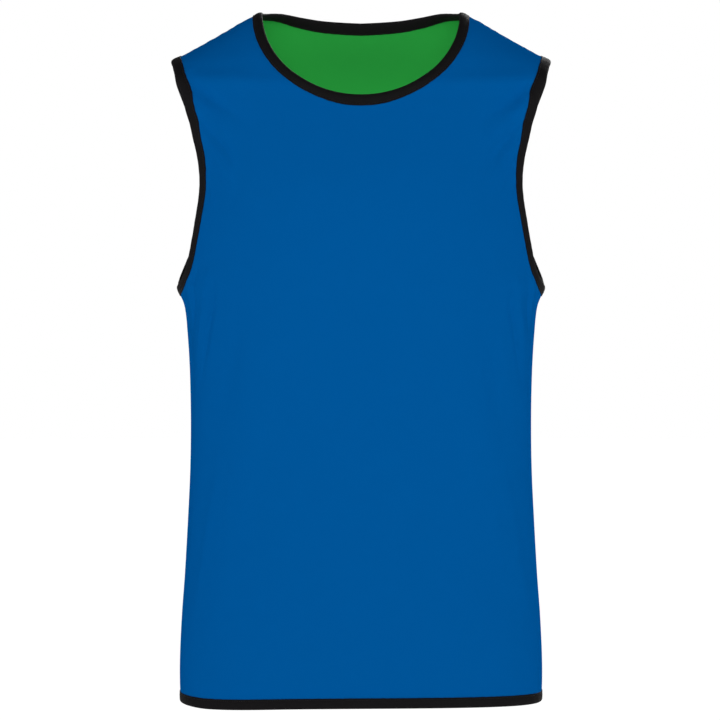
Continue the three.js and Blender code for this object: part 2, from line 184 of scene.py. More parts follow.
backCreases = [
    # pulls from the armholes across the shoulder blades
    (-52, -48, -31, -106, 6.2, -4.2, 0.45), (-49, -72, -36, -130, 4.4, 1.7, 0.45),
    (-51, -94, -36, -170, 4.6, -2.7, 0.42), (-52, -112, -40, -184, 4.2, 1.6, 0.5),
    (-54, -130, -44, -188, 4, -1.6, 0.45),
    (51, -50, 32, -112, 6, -4, 0.45), (49, -76, 35, -134, 4.6, 1.6, 0.45),
    (51, -98, 38, -166, 4.4, -2.5, 0.42), (53, -118, 41, -190, 4.4, 1.5, 0.5),
    (55, -138, 46, -196, 4, -1.5, 0.45),
    # drapes below the underarms, and the hang from the shoulder blades
    (-50, -250, -60, -382, 4.6, -3, 0.4), (-56, -238, -66, -356, 4.4, 2.1, 0.4),
    (-63, -246, -72, -338, 3.8, -1.7, 0.4), (-28, -236, -34, -430, 8, -3.2, 0.5),
    (51, -252, 61, -390, 4.4, -2.9, 0.4), (57, -242, 67, -360, 4.2, 2, 0.4),
    (64, -250, 72, -342, 3.6, -1.7, 0.4), (26, -248, 33, -440, 8.5, -3.1, 0.5),
    (-14, -252, -20, -404, 8, 2.3, 0.5), (10, -262, 15, -420, 8, 2.2, 0.5),
    (-3, -380, -4, -600, 9, -2.7, 0.5), (32, -470, 35, -640, 7.5, -2.6, 0.5),
    (-30, -455, -34, -646, 7.5, -2.8, 0.5),
]
mmPerDegree = 2.8


def foldLift(points):
    x, y, z = points[..., 0], points[..., 1], points[..., 2]
    halfWidth, front, back, _ = levelAt(z)
    around = np.degrees(np.arctan2(x / halfWidth, np.abs(y) / np.where(y > 0, back, front)))
    lift = np.zeros_like(z)
    # creases fade in more gently than folds, so that they don't dent the bindings
    for folds, here, gentle in ((frontFolds, y < 0, 1), (frontCreases, y < 0, 1.5),
                                (backFolds, y > 0, 1), (backCreases, y > 0, 1.5)):
        for a0, z0, a1, z1, width, height, strongest in folds:
            runX, runZ = (a1 - a0) * mmPerDegree, z1 - z0
            hereX, hereZ = (around - a0) * mmPerDegree, z - z0
            length = math.hypot(runX, runZ)
            share = np.clip((hereX * runX + hereZ * runZ) / length ** 2, 0, 1)
            off = (hereX * runZ - hereZ * runX) / length
            swell = np.sin(np.pi * share ** (math.log(0.5) / math.log(strongest))) ** gentle
            lift += np.where(here, height * np.exp(-((off / width) ** 2)) * swell, 0)
    return lift


# An uneven ripple along a length in millimetres, between about -1 and 1
def ripple(along, pitch, turn):
    slow = np.sin(2 * np.pi * along / (pitch * 3.7) + turn * 2.3)
    return (0.6 * np.sin(2 * np.pi * along / pitch + turn + 1.4 * slow)
            + 0.4 * np.sin(2 * np.pi * along / (pitch * 1.63) + turn * 1.7 - 0.9 * slow))


# How the sewing draws the cloth in along the side seams and shoulder seams, which lie in y = 0
seam = {
    "groove": 0.8, "grooveReach": 1.4, "pucker": 0.45, "puckerReach": 7.0, "puckerPitch": 10.5,
    "puckerTurn": 0.7,
    "slant": 1.6,            # how far a pucker runs on along the seam at each side of it
    "slantReach": 6,         # and how far out it does so
    "leftShift": 37.0,       # so that left and right seams don't pucker alike
    # the dark line along a seam is painted shade, in the cloth's colour
    "line": 0.55,            # half the width of the dark line between the two cloths
    "shoulderFrom": -60,     # above this height a seam is a shoulder seam
    "shoulderSlope": 1.1,    # length of a shoulder seam for each millimetre across
    "steps": (0.7, 1.4, 2.2, 3.2, 4.6, 6.6),    # how far from a seam the mesh has its closer lines
}


def seamLift(points):
    x, y, z = points[..., 0], points[..., 1], points[..., 2]
    onShoulder = z > seam["shoulderFrom"]
    along = np.where(onShoulder, np.abs(x) * seam["shoulderSlope"], z)
    along += np.where(x > 0, seam["leftShift"], 0.0)
    nearBy = np.exp(-((y / seam["puckerReach"]) ** 2))
    side = np.where(y > 0, 1.0, -1.0) * np.clip(np.abs(y) / seam["slantReach"], 0, 1)
    wave = ripple(along + side * seam["slant"], seam["puckerPitch"], seam["puckerTurn"])
    groove = -seam["groove"] * np.exp(-((y / seam["grooveReach"]) ** 2))
    return groove, seam["pucker"] * wave * nearBy


# Points at given fractions of the way along a line, where each bend counts as some millimetres of way too
def spaced(line, stations, wayPerRadian=60.0):
    run = np.diff(line, axis=0)
    length = np.linalg.norm(run, axis=1)
    cosine = (run[:-1] * run[1:]).sum(1) / np.maximum(length[:-1] * length[1:], 1e-12)
    bend = np.append(np.arccos(np.clip(cosine, -1, 1)), 0)
    way = np.concatenate([[0], np.cumsum(length + wayPerRadian * bend)])
    at = np.asarray(stations) * way[-1]
    points = onFigure(np.stack([np.interp(at, way, line[:, k]) for k in range(3)], 1))
    points[0, 1] = points[-1, 1] = 0
    return points


samples = 1200    # steps along each line before it is spaced out


def onSide(side, x, z):
    halfWidth, front, back, square = levelAt(z)
    left = np.maximum(0, 1 - (np.abs(x) / halfWidth) ** square) ** (1 / square)
    return np.stack([x, left * (-front if side == "front" else back), z], -1)


def neckEdge(side, stations, **more):
    turn = np.pi * (0.5 - 0.5 * np.cos(np.pi * np.arange(samples + 1) / samples))
    x = -neckHalfWidth * np.cos(turn)
    top = neckBack[-1, 1]
    if side == "front":
        z = top + (neckFrontZ - top) * np.sin(turn)
    else:
        z = readCurve(neckBack[:, 0], neckBack[:, 1], np.abs(x))
    return spaced(onSide(side, x, z), stations, **more)


def armholeEdge(side, hand, stations, **more):
    rows = len(armhole)
    start = 0 if side == "front" else rows
    place = start + (shoulderRow - start) * np.arange(samples + 1) / samples
    row = np.minimum(np.floor(place).astype(int), rows - 1)
    a, b, c, d = (armhole[(row + step) % rows] for step in (-1, 0, 1, 2))
    y, z = easeBetween(b, c, (c - a) / 2, (d - b) / 2, (place - row)[:, None]).T
    halfWidth, front, back, square = levelAt(z)
    left = (1 - (np.abs(y) / np.where(y > 0, back, front)) ** square) ** (1 / square)
    return spaced(np.stack([hand * halfWidth * left, y, z], 1), stations, **more)


def halfRing(side, z, stations, **more):
    halfWidth, front, back, _ = levelAt(np.array([float(z)]))
    turn = np.pi * np.arange(samples + 1) / samples
    deep = np.sin(turn) * (-front if side == "front" else back)
    line = np.stack([-np.cos(turn) * halfWidth, deep, np.full(samples + 1, float(z))], 1)
    return spaced(onFigure(line), stations, **more)


def hemCut(side, stations, **more):
    ring = halfRing(side, hemEdge[0, 1], stations, **more)
    ring[:, 2] = readCurve(hemEdge[:, 0], hemEdge[:, 1], ring[:, 0])
    return onFigure(ring)


# Fractions along a line that crowd at one or both ends, where the seams are
def ladder(length, count, atStart, atEnd):
    first = [gap / length for gap in seam["steps"]] if atStart else []
    last = [1 - gap / length for gap in reversed(seam["steps"])] if atEnd else []
    low, high = (first or [0])[-1], (last or [1])[0]
    between = count - len(first) - len(last)
    middle = [low + (high - low) * i / between for i in range(between + 1)]
    return np.array(([0] if first else []) + first[:-1] + middle + last[1:] + ([1] if last else []))


def mix(a, b, share):
    return a + (b - a) * share


# A patch of points between four lines: bottom and top run across, left and right run up
def patch(bottom, top, left, right, u, v):
    u, v = u[None, :, None], v[:, None, None]
    sides = mix(left[:, None], right[:, None], u)
    ends = mix(bottom[None], top[None], v)
    corners = mix(mix(bottom[0], bottom[-1], u), mix(top[0], top[-1], u), v)
    return onFigure(sides + ends - corners)


# A panel's stretches in millimetres, and where along the armhole and the neck the strap begins
panel = {
    "strap": 138, "centre": 230, "body": 428, "chest": 170, "shoulder": 120,
    "halfRound": 505, "strapHeight": 95, "strapWidth": 90, "armShare": 8 / 15, "neckShare": 7 / 26,
}


# A front or back as three kinds of block, with each point's place on the flat cloth in millimetres
def layOut(side, cell):
    strap, centre, body, chest, shoulder = (
        round(panel[part] / cell) for part in ("strap", "centre", "body", "chest", "shoulder"))
    across = ladder(panel["halfRound"], centre + 2 * strap, True, True)
    armShare, neckShare = panel["armShare"], panel["neckShare"]
    upBody = np.linspace(0, 1, body + 1)
    upChest = np.linspace(0, 1, chest + 1)
    upShoulder = ladder(panel["strapHeight"], shoulder, False, True)
    fromArm = ladder(panel["strapWidth"], strap, True, False)
    fromNeck = 1 - fromArm[::-1]

    armStations = np.concatenate([armShare * upChest, armShare + (1 - armShare) * upShoulder[1:]])
    neckUp = neckShare * (1 - upShoulder[::-1])
    neckAcross = np.linspace(neckShare, 1 - neckShare, centre + 1)[1:-1]
    neckStations = np.concatenate([neckUp, neckAcross, 1 - neckUp[::-1]])
    arms = [armholeEdge(side, hand, armStations) for hand in (-1, 1)]
    neck = neckEdge(side, neckStations)
    waist = halfRing(side, armhole[0, 1], across)
    strapLines = [
        onFigure(mix(arms[0][chest], neck[shoulder], fromArm[:, None])),
        onFigure(mix(neck[shoulder + centre], arms[1][chest], fromNeck[:, None])),
    ]
    chestTop = np.concatenate([strapLines[0][:-1], neck[shoulder:shoulder + centre + 1], strapLines[1][1:]])

    def shoulderSeam(start, end, stations):
        x = mix(start[0], end[0], stations)
        line = np.stack([x, 0 * x, readCurve(shoulderTop[:, 1], shoulderTop[:, 0], np.abs(x))], 1)
        line[0], line[-1] = start, end
        return line

    seams = [shoulderSeam(arms[0][-1], neck[0], fromArm), shoulderSeam(neck[-1], arms[1][-1], fromNeck)]
    hem = hemCut(side, across)
    bodyRows = [hem]
    for share in upBody[1:-1]:
        ring = halfRing(side, mix(hem[0, 2], waist[0, 2], share), across)
        ring[:, 2] = mix(hem[:, 2], waist[:, 2], share)
        bodyRows.append(onFigure(ring))
    bodyRows.append(waist)
    blocks = [
        np.array(bodyRows),
        patch(waist, chestTop, arms[0][:chest + 1], arms[1][:chest + 1], across, upChest),
        patch(strapLines[0], seams[0], arms[0][chest:], neck[:shoulder + 1][::-1], fromArm, upShoulder),
        patch(strapLines[1], seams[1], neck[shoulder + centre:], arms[1][chest:], fromNeck, upShoulder),
    ]

    def measured(block, startV, anchor, anchorU):
        up = np.linalg.norm(np.diff(block, axis=0), axis=2)
        along = np.linalg.norm(np.diff(block, axis=1), axis=2)
        v = startV + np.concatenate([np.zeros((1, block.shape[1])), np.cumsum(up, axis=0)])
        u = np.concatenate([np.zeros((block.shape[0], 1)), np.cumsum(along, axis=1)], axis=1)
        return np.stack([u - u[:, anchor:anchor + 1] + anchorU, v], -1)

    middle = (centre + 2 * strap) // 2
    flat = [measured(blocks[0], 0, middle, 0)]
    flat.append(measured(blocks[1], flat[0][-1, :, 1], middle, 0))
    half = strap // 2
    rest = strap - half
    top = flat[1][-1]
    flat.append(measured(blocks[2], top[:strap + 1, 1], half, top[half, 0]))
    flat.append(measured(blocks[3], top[strap + centre:, 1], rest, top[strap + centre + rest, 0]))
    return blocks, flat


# The bindings, in millimetres
binding = {
    "leg": 9.2,              # how far it reaches in from the cut edge
    "neckSideLeg": 7.4,
    "neckBackLeg": 9.8,
    "stitchIn": 1.75,        # the row of stitches lies this far from the leg's edge
    "pitch": 1.15,           # between its sections, and half a stitch
    "face": 1.05,            # how far the cloth's outside lies from the middle between the layers
    "layer": 0.6,            # how thick each cloth is
}
neckLengths = {"front": 300, "back": 260}
armholeLength, hemLength = 265, 505
# the middle of each opening, from which its binding reaches away
neckMiddle = np.array([0, 0, 60])
armholeMiddle = np.array([190, 0, -150])


# Each cut edge as a closed line, with the line that the binding's legs reach to
def closedEdge(front, back):
    return np.concatenate([front, back[::-1][1:-1]])


def setIn(edge, middle, leg):
    run = np.roll(edge, -1, axis=0) - np.roll(edge, 1, axis=0)
    run[np.abs(edge[:, 1]) < 1e-6] = (0, 1, 0)
    step = unit(np.cross(run, normalAt(edge)))
    step *= np.where(((edge - middle) * step).sum(1) < 0, -1, 1)[:, None]
    return onFigure(edge + step * leg[:, None])


def smoothStep(value, low, high):
    t = np.clip((value - low) / (high - low), 0, 1)
    return t * t * (3 - 2 * t)


def neckLoop(pitch):
    halves = []
    for side, length in neckLengths.items():
        stations = np.linspace(0, 1, 2 * round(length / pitch / 2) + 1)
        halves.append(neckEdge(side, stations, wayPerRadian=0.0))
    edge = closedEdge(*halves)
    # the leg is narrower at the shoulders
    share = np.abs(edge[:, 0]) / neckHalfWidth
    inFront = edge[:, 1] < 0
    narrowed = np.where(inFront, smoothStep(share, 0.1, 0.5), smoothStep(share, 0.8, 1))
    centreLeg = np.where(inFront, binding["leg"], binding["neckBackLeg"])
    leg = mix(centreLeg, binding["neckSideLeg"], narrowed)
    return edge, setIn(edge, neckMiddle, leg), leg


def armLoop(hand, pitch):
    stations = np.linspace(0, 1, 2 * round(armholeLength / pitch / 2) + 1)
    edge = closedEdge(*(armholeEdge(side, hand, stations, wayPerRadian=0.0) for side in ("front", "back")))
    leg = np.full(len(edge), binding["leg"])
    return edge, setIn(edge, armholeMiddle * (hand, 1, 1), leg), leg


def hemLoop(pitch):
    stations = np.linspace(0, 1, 2 * round(hemLength / pitch / 2) + 1)
    edge = closedEdge(*(hemCut(side, stations, wayPerRadian=0.0) for side in ("front", "back")))
    leg = np.full(len(edge), binding["leg"])
    return edge, onFigure(edge + np.array([0, 0, 1]) * leg[:, None]), leg


# A socket that can be used in sums
class Wire:
    def __init__(self, finish, socket):
        self.finish, self.socket = finish, socket

    def maths(self, operation, *values):
        return self.finish.node("ShaderNodeMath", {"operation": operation}, dict(enumerate(values)))

    def __add__(self, other):
        return self.maths("ADD", self, other)

    def __radd__(self, other):
        return self.maths("ADD", other, self)

    def __sub__(self, other):
        return self.maths("SUBTRACT", self, other)

    def __rsub__(self, other):
        return self.maths("SUBTRACT", other, self)

    def __mul__(self, other):
        return self.maths("MULTIPLY", self, other)

    def __rmul__(self, other):
        return self.maths("MULTIPLY", other, self)

    def __abs__(self):
        return self.maths("ABSOLUTE", self)

    def sine(self):
        return self.maths("SINE", self)

    def within(self):
        return self.maths("FRACT", self)

    def clamped(self):
        return self.finish.node("ShaderNodeClamp", {}, {"Value": self})


# The nodes of a material or of the surroundings, with one method that adds any node
class Finish:
    def __init__(self, holder):
        self.holder = holder
        holder.use_nodes = True
        self.tree = holder.node_tree
        self.tree.nodes.clear()

    def node(self, kind, settings, inputs, output=0):
        made = self.tree.nodes.new(kind)
        for key, value in settings.items():
            setattr(made, key, value)
        for key, value in inputs.items():
            if isinstance(value, Wire):
                self.tree.links.new(value.socket, made.inputs[key])
            else:
                made.inputs[key].default_value = value
        return Wire(self, made.outputs[output]) if made.outputs else None

    def uv(self):
        spot = self.node("ShaderNodeUVMap", {"uv_map": "cloth"}, {})
        u = self.node("ShaderNodeSeparateXYZ", {}, {0: spot}, "X")
        v = self.node("ShaderNodeSeparateXYZ", {}, {0: spot}, "Y")
        return spot, u, v

    def across(self):
        # how far a point lies from the plane of the seams
        spot = self.node("ShaderNodeTexCoord", {}, {}, "Object")
        return self.node("ShaderNodeSeparateXYZ", {}, {0: spot}, "Y")

    def noise(self, at, scale, detail=2.0, roughness=0.5):
        inputs = {"Vector": at, "Scale": scale, "Detail": detail, "Roughness": roughness}
        return self.node("ShaderNodeTexNoise", {"noise_dimensions": "3D"}, inputs)

    def blend(self, factor, a, b, kind="MIX"):
        settings = {"data_type": "RGBA", "blend_type": kind}
        return self.node("ShaderNodeMix", settings, {0: factor, 6: a, 7: b}, 2)

    def bump(self, height, depth, strength):
        inputs = {"Height": height, "Distance": depth * metre, "Strength": strength}
        return self.node("ShaderNodeBump", {}, inputs)

    def finished(self, principled):
        self.node("ShaderNodeOutputMaterial", {}, {"Surface": principled})
        return self.holder


def linear(red, green, blue):
    def one(value):
        value /= 255
        return value / 12.92 if value <= 0.04045 else ((value + 0.055) / 1.055) ** 2.4
    return (one(red), one(green), one(blue), 1)


tau = 2 * math.pi

# Fine double knit: upright wales of small slanting loops, with the sheen of smooth polyester
knit = {
    "wale": 0.78, "course": 0.62, "depth": 0.05,    # millimetres
    "lean": 0.9,                                    # how far the loops slant, in courses
    "grainScale": 0.9, "grainTone": 0.7, "broadScale": 0.02, "broadTone": 1.2,
    "waleRelief": 0.5, "loopRelief": 0.35, "grainRelief": 0.5, "relief": 0.6,
    "baseShare": 0.35, "seamDark": 0.75,
    # the painted seam shadow is the cloth's colour scaled by these shares
    "seamShade": (0.2, 0.25, 0.25),                 # shares of the cloth's red, green and blue
    "roughness": 0.7, "grainRough": 0.12, "loopRough": -0.05,
    "sheen": 0.03, "sheenRoughness": 0.5,
}


def clothFinish(name, base, light, dark):
    finish = Finish(bpy.data.materials.new(name))
    spot, u, v = finish.uv()
    wale = (u * (tau / knit["wale"])).sine()
    lean = abs((u * (1 / knit["wale"]) + 0.25).within() - 0.5)
    loop = ((v * (1 / knit["course"]) + lean * knit["lean"]) * tau).sine()
    height = wale * knit["waleRelief"] + loop * knit["loopRelief"] * (wale * 0.5 + 0.5)
    grain = finish.noise(spot, knit["grainScale"], 3.0, 0.6)
    broad = finish.noise(spot, knit["broadScale"], 2.0, 0.5)
    tone = finish.blend(((grain - 0.5) * knit["grainTone"] + 0.5).clamped(), dark, light)
    shade = finish.blend(knit["baseShare"], tone, base)
    even = finish.blend(((broad - 0.5) * knit["broadTone"] + 0.5).clamped(), shade, base)
    # painted shade: along the seams the cloth's colour turns towards a darker copy of itself, for the shadow
    # in the gap between the two cloths
    paintedSeamShadeMask = (1 - abs(finish.across()) * (1 / (seam["line"] * metre))).clamped()
    shadow = tuple(part * share for part, share in zip(base, knit["seamShade"])) + (1,)
    colour = finish.blend(paintedSeamShadeMask * knit["seamDark"], even, shadow)
    rough = (grain - 0.5) * knit["grainRough"] + (height * knit["loopRough"]) + knit["roughness"]
    bump = finish.bump(height + grain * knit["grainRelief"], knit["depth"], knit["relief"])
    cloth = finish.node("ShaderNodeBsdfPrincipled", {}, {
        "Base Color": colour, "Roughness": rough, "Normal": bump, "Sheen Weight": knit["sheen"],
        "Sheen Roughness": knit["sheenRoughness"], "Sheen Tint": light, "Specular IOR Level": 0.0,
    })
    return finish.finished(cloth)


# Black ribbed knit, cut along its ribs
tape = {
    "rib": 0.7, "course": 0.6, "depth": 0.06,       # millimetres
    "lean": 0.8, "grainScale": 1.1,
    "wornReach": 0.35, "wornTone": 0.5, "wornFrom": 0.42, "wornEdge": 4, "grainTone": 0.8,
    "ribRelief": 0.5, "loopRelief": 0.4, "grainRelief": 0.6, "relief": 0.6,
    "roughness": 0.7, "grainRough": 0.15, "specular": 0.08,
}


def bindingFinish(name):
    finish = Finish(bpy.data.materials.new(name))
    spot, u, v = finish.uv()
    rib = (v * (tau / tape["rib"])).sine()
    lean = abs((v * (1 / tape["rib"])).within() - 0.5)
    loop = ((u * (1 / tape["course"]) + lean * tape["lean"]) * tau).sine()
    height = rib * tape["ribRelief"] + loop * tape["loopRelief"]
    grain = finish.noise(spot, tape["grainScale"], 3.0, 0.6)
    # the fold, at v = 0, is worn a little lighter
    patchy = ((grain - tape["wornFrom"]) * tape["wornEdge"]).clamped()
    worn = (1 - abs(v) * tape["wornReach"]).clamped() * patchy
    base = finish.blend((grain * tape["grainTone"]).clamped(), linear(10, 9, 10), linear(20, 18, 20))
    colour = finish.blend(worn * tape["wornTone"], base, linear(36, 34, 37))
    cloth = finish.node("ShaderNodeBsdfPrincipled", {}, {
        "Base Color": colour, "Roughness": (grain - 0.5) * tape["grainRough"] + tape["roughness"],
        "Normal": finish.bump(height + grain * tape["grainRelief"], tape["depth"], tape["relief"]),
        "Specular IOR Level": tape["specular"],
    })
    return finish.finished(cloth)


# Black sewing thread, with its twist in turns for each millimetre along and across
yarn = {
    "along": 5.5, "across": 1.2, "depth": 0.04, "relief": 0.6,
    "roughness": 0.5, "twistRough": 0.05, "specular": 0.2,
}


def threadFinish(name):
    finish = Finish(bpy.data.materials.new(name))
    _, u, v = finish.uv()
    twist = ((u * yarn["along"] + v * yarn["across"]) * tau).sine()
    # painted shade and highlight: the thread is coloured darker in the grooves of its twist and lighter on
    # its ridges
    colour = finish.blend((twist * 0.5 + 0.5).clamped(), linear(8, 8, 9), linear(24, 22, 25))
    thread = finish.node("ShaderNodeBsdfPrincipled", {}, {
        "Base Color": colour, "Roughness": yarn["roughness"] + twist * yarn["twistRough"],
        "Normal": finish.bump(twist, yarn["depth"], yarn["relief"]), "Specular IOR Level": yarn["specular"],
    })
    return finish.finished(thread)


blueCloth = clothFinish("blueCloth", linear(0, 83, 151), linear(2, 88, 158), linear(0, 78, 144))
greenCloth = clothFinish("greenCloth", linear(44, 161, 66), linear(49, 168, 72), linear(39, 153, 60))
blackBinding = bindingFinish("blackBinding")
blackThread = threadFinish("blackThread")
print("finishes made")


def addPiece(name, mesh, finish):
    data = bpy.data.meshes.new(name)
    mesh.to_mesh(data)
    mesh.free()
    data.materials.append(finish)
    piece = bpy.data.objects.new(name, data)
    bpy.context.scene.collection.objects.link(piece)
    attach(piece, "root")
    return piece


# A grid whose points are placed one by one, rows going up and columns across
def addGrid(mesh, places, flat):
    rows, columns = places.shape[0] - 1, places.shape[1] - 1
    made = bmesh.ops.create_grid(mesh, x_segments=columns, y_segments=rows, size=0.5)["verts"]
    uv = mesh.loops.layers.uv["cloth"]
    spots = {}
    for vert in made:
        i, j = round((vert.co.x + 0.5) * columns), round((vert.co.y + 0.5) * rows)
        vert.co = places[j, i] * metre
        spots[vert] = flat[j, i]
    for face in {face for vert in made for face in vert.link_faces}:
        face.smooth = True
        for loop in face.loops:
            loop[uv].uv = spots[loop.vert]


weld = 2e-6    # points of a mesh this close, in metres, become one


def startMesh():
    mesh = bmesh.new()
    mesh.loops.layers.uv.new("cloth")
    return mesh


# Small ripples of the cloth beside a binding, and the steps along the cut edges that they are worked out from
edgeRipple = {"height": 0.09, "pitch": 7.5, "reach": 5.0, "step": 4.0}
# How much of a fold the inside cloth hangs back by, and over what width that begins at a binding
slackness = {"share": 0.25, "reach": 4.0}
# How far from a cut edge the cloth is held flat, and over what width it is let go
heldFlat = {"to": 2.0, "over": 6.0}


def makePanel(name, side, layer, cell, finish):
    blocks, flat = layOut(side, cell)
    step = edgeRipple["step"]
    loops = [neckLoop(step), armLoop(-1, step), armLoop(1, step), hemLoop(step)]
    edges = np.concatenate([edge for edge, _, _ in loops])
    tree = KDTree(len(edges))
    for i, point in enumerate(edges):
        tree.insert(point, i)
    tree.balance()
    outward = 1 if layer == "outer" else -1
    mesh = startMesh()
    for places, spots in zip(blocks, flat):
        groove, pucker = seamLift(places)
        nearest = [tree.find(point)[1:] for point in places.reshape(-1, 3)]
        along = np.array([i * step for i, _ in nearest]).reshape(places.shape[:2])
        away = np.array([gap for _, gap in nearest]).reshape(places.shape[:2])
        beside = np.exp(-((np.maximum(away - binding["leg"], 0) / edgeRipple["reach"]) ** 2))
        besideLift = edgeRipple["height"] * ripple(along, edgeRipple["pitch"], 1.9) * beside
        fade = np.clip((away - heldFlat["to"]) / heldFlat["over"], 0, 1)
        folds = foldLift(places)
        lift = folds + pucker * fade + besideLift + outward * (binding["face"] + groove * fade)
        if layer == "inner":
            free = np.clip((away - binding["leg"]) / slackness["reach"], 0, 1)
            lift -= slackness["share"] * np.abs(folds) * free
        addGrid(mesh, places + normalAt(places) * lift[..., None], spots)
    bmesh.ops.remove_doubles(mesh, verts=mesh.verts[:], dist=weld)
    mesh.normal_update()
    # the faces beside the hem tell which way the whole panel faces
    facing = sum(face.normal.dot(Vector((*face.calc_center_median().xy, 0))) for face in mesh.faces[:200])
    if (facing > 0) != (layer == "outer"):
        bmesh.ops.reverse_faces(mesh, faces=mesh.faces[:])
    for edge in mesh.edges:
        edge.smooth = not edge.is_boundary
    piece = addPiece(name, mesh, finish)
    shell = piece.modifiers.new("thickness", "SOLIDIFY")
    shell.thickness = binding["layer"] * metre
    shell.offset = -1
    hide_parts(f"{layer}_{side}")
    print(name, "made")
    return piece


# the fourth value is the size of a panel's cells, in millimetres
outerFront = makePanel("outerFront", "front", "outer", 2.65, blueCloth)
outerBack = makePanel("outerBack", "back", "outer", 2.8, blueCloth)
innerFront = makePanel("innerFront", "front", "inner", 3.2, greenCloth)
innerBack = makePanel("innerBack", "back", "inner", 3.2, greenCloth)

# The binding's section, in millimetres
bindingSection = {
    "under": 1.08,    # height of its inside
    "top": [          # back from the leg's edge, and height
        (0.0, 1.3), (0.15, 1.62), (0.5, 1.84), (1.0, 1.9), (1.75, 1.72), (2.5, 1.95), (3.8, 2.2),
    ],
    "fold": [         # in from the cut edge, and height
        (2.6, 2.36), (1.0, 2.36), (-0.1, 2.16), (-1.05, 1.66), (-1.6, 0.9), (-1.8, 0.0),
    ],
}


# How uneven it is along its length: its thickness, its inner edge, and the dips and swells of the sewing
uneven = {
    "swell": 0.1, "swellPitch": 9.0, "swellFrom": 1.5, "swellFull": 4,
    "waver": 0.15, "waverPitch": 6.5, "waverFrom": 0.9,
    "needleDip": -0.07, "stitchSwell": 0.05, "stitchReach": 0.2,
}


def sectionOf(leg):
    half = [(leg - back, height) for back, height in bindingSection["top"]] + bindingSection["fold"]
    other = [(s, -h) for s, h in reversed(half[:-1])]
    under = bindingSection["under"]
    inside = [(leg - 0.1, -under), (0.5 * leg, -under), (0.2, -under), (-0.3, -0.6)]
    inside += [(s, -h) for s, h in reversed(inside)]
    return half + other + inside + [half[0]]


def makeBinding(name, loop, pitch, turn, reach):
    edge, foot, leg = loop
    count = len(edge)
    along = np.arange(count) * pitch
    out = unit(edge - onFigure(mix(edge, foot, 0.15)))
    rows = []
    profile = np.array([sectionOf(value) for value in leg])      # section, place, (in, height)
    wobble = uneven["swell"] * ripple(along, uneven["swellPitch"], turn)
    hole = np.where(np.arange(count) % 2 == 0, uneven["needleDip"], uneven["stitchSwell"])
    for k in range(profile.shape[1]):
        into, height = profile[:, k, 0].copy(), profile[:, k, 1].copy()
        top = np.abs(height) > binding["face"] + 0.1
        stitchPlace = np.abs(np.abs(into - leg) - binding["stitchIn"]) < uneven["stitchReach"]
        swell = wobble * smoothStep(leg - into, uneven["swellFrom"], uneven["swellFull"])
        height += np.sign(height) * np.where(top, swell + np.where(stitchPlace, hole, 0), 0)
        waver = uneven["waver"] * ripple(along, uneven["waverPitch"], turn + 1)
        into += np.where(into > uneven["waverFrom"] * leg, waver, 0)
        share = np.clip(into / leg, 0, 1)
        base = onFigure(mix(edge, foot, share[:, None]))
        beyond = np.maximum(-into, 0) * reach
        rows.append(base + normalAt(base) * (foldLift(base) + height)[:, None] + out * beyond[:, None])
    places = np.array(rows).transpose(1, 0, 2)
    places = np.concatenate([places, places[:1]])
    across = np.concatenate([[0], np.cumsum(np.linalg.norm(np.diff(places[0], axis=0), axis=1))])
    fold = across[len(bindingSection["top"]) + len(bindingSection["fold"]) - 1]
    flat = np.zeros(places.shape[:2] + (2,))
    flat[..., 0] = (np.arange(count + 1) * pitch)[:, None]
    flat[..., 1] = (across - fold)[None, :]
    mesh = startMesh()
    addGrid(mesh, places, flat)
    bmesh.ops.remove_doubles(mesh, verts=mesh.verts[:], dist=weld)
    bmesh.ops.recalc_face_normals(mesh, faces=mesh.faces[:])
    piece = addPiece(name, mesh, blackBinding)
    print(name, "made", count, "sections")
    return piece, places


# A stitch: half its length as a share of its pitch, and in millimetres half its width, half its thickness
# and how high it lies
stitch = {
    "length": 0.43, "width": 0.24, "thick": 0.22, "above": 0.16,
    "batch": 60,    # sections sewn at a time, because a small mesh is quicker to add to
}


# One row of stitches outside and one inside, lying in the dips of the binding
def makeStitches(name, loop, places):
    count = len(loop[0])
    mesh = startMesh()
    uv = mesh.loops.layers.uv["cloth"]
    outsideRow = 4
    insideRow = 2 * (len(bindingSection["top"]) + len(bindingSection["fold"]) - 1) - outsideRow
    for row, facing in ((outsideRow, 1), (insideRow, -1)):
        line = places[:-1, row]
        outward = normalAt(onFigure(line)) * facing
        for first in range(0, count, stitch["batch"]):
            few = bmesh.new()
            for i in range(first, min(first + stitch["batch"], count), 2):
                start, end = line[i], line[(i + 2) % count]
                way = Vector(end - start)
                up = Vector(outward[(i + 1) % count])
                side = way.cross(up).normalized()
                up = side.cross(way).normalized()
                middle = Vector((start + end) / 2) + up * stitch["above"]
                turn = Matrix((way.normalized(), side, up)).transposed().to_4x4()
                size = Matrix.Diagonal((stitch["length"] * way.length, stitch["width"], stitch["thick"], 1))
                matrix = Matrix.Translation(middle * metre) @ turn @ Matrix.Scale(metre, 4) @ size
                bmesh.ops.create_uvsphere(few, u_segments=6, v_segments=4, radius=1, matrix=matrix)
            batch = bpy.data.meshes.new("batch")
            few.to_mesh(batch)
            few.free()
            mesh.from_mesh(batch)
            bpy.data.meshes.remove(batch)
    for face in mesh.faces:
        face.smooth = True
        for loopCorner in face.loops:
            co = loopCorner.vert.co / metre
            loopCorner[uv].uv = (co.x + co.y, co.z)
    piece = addPiece(name, mesh, blackThread)
    return piece


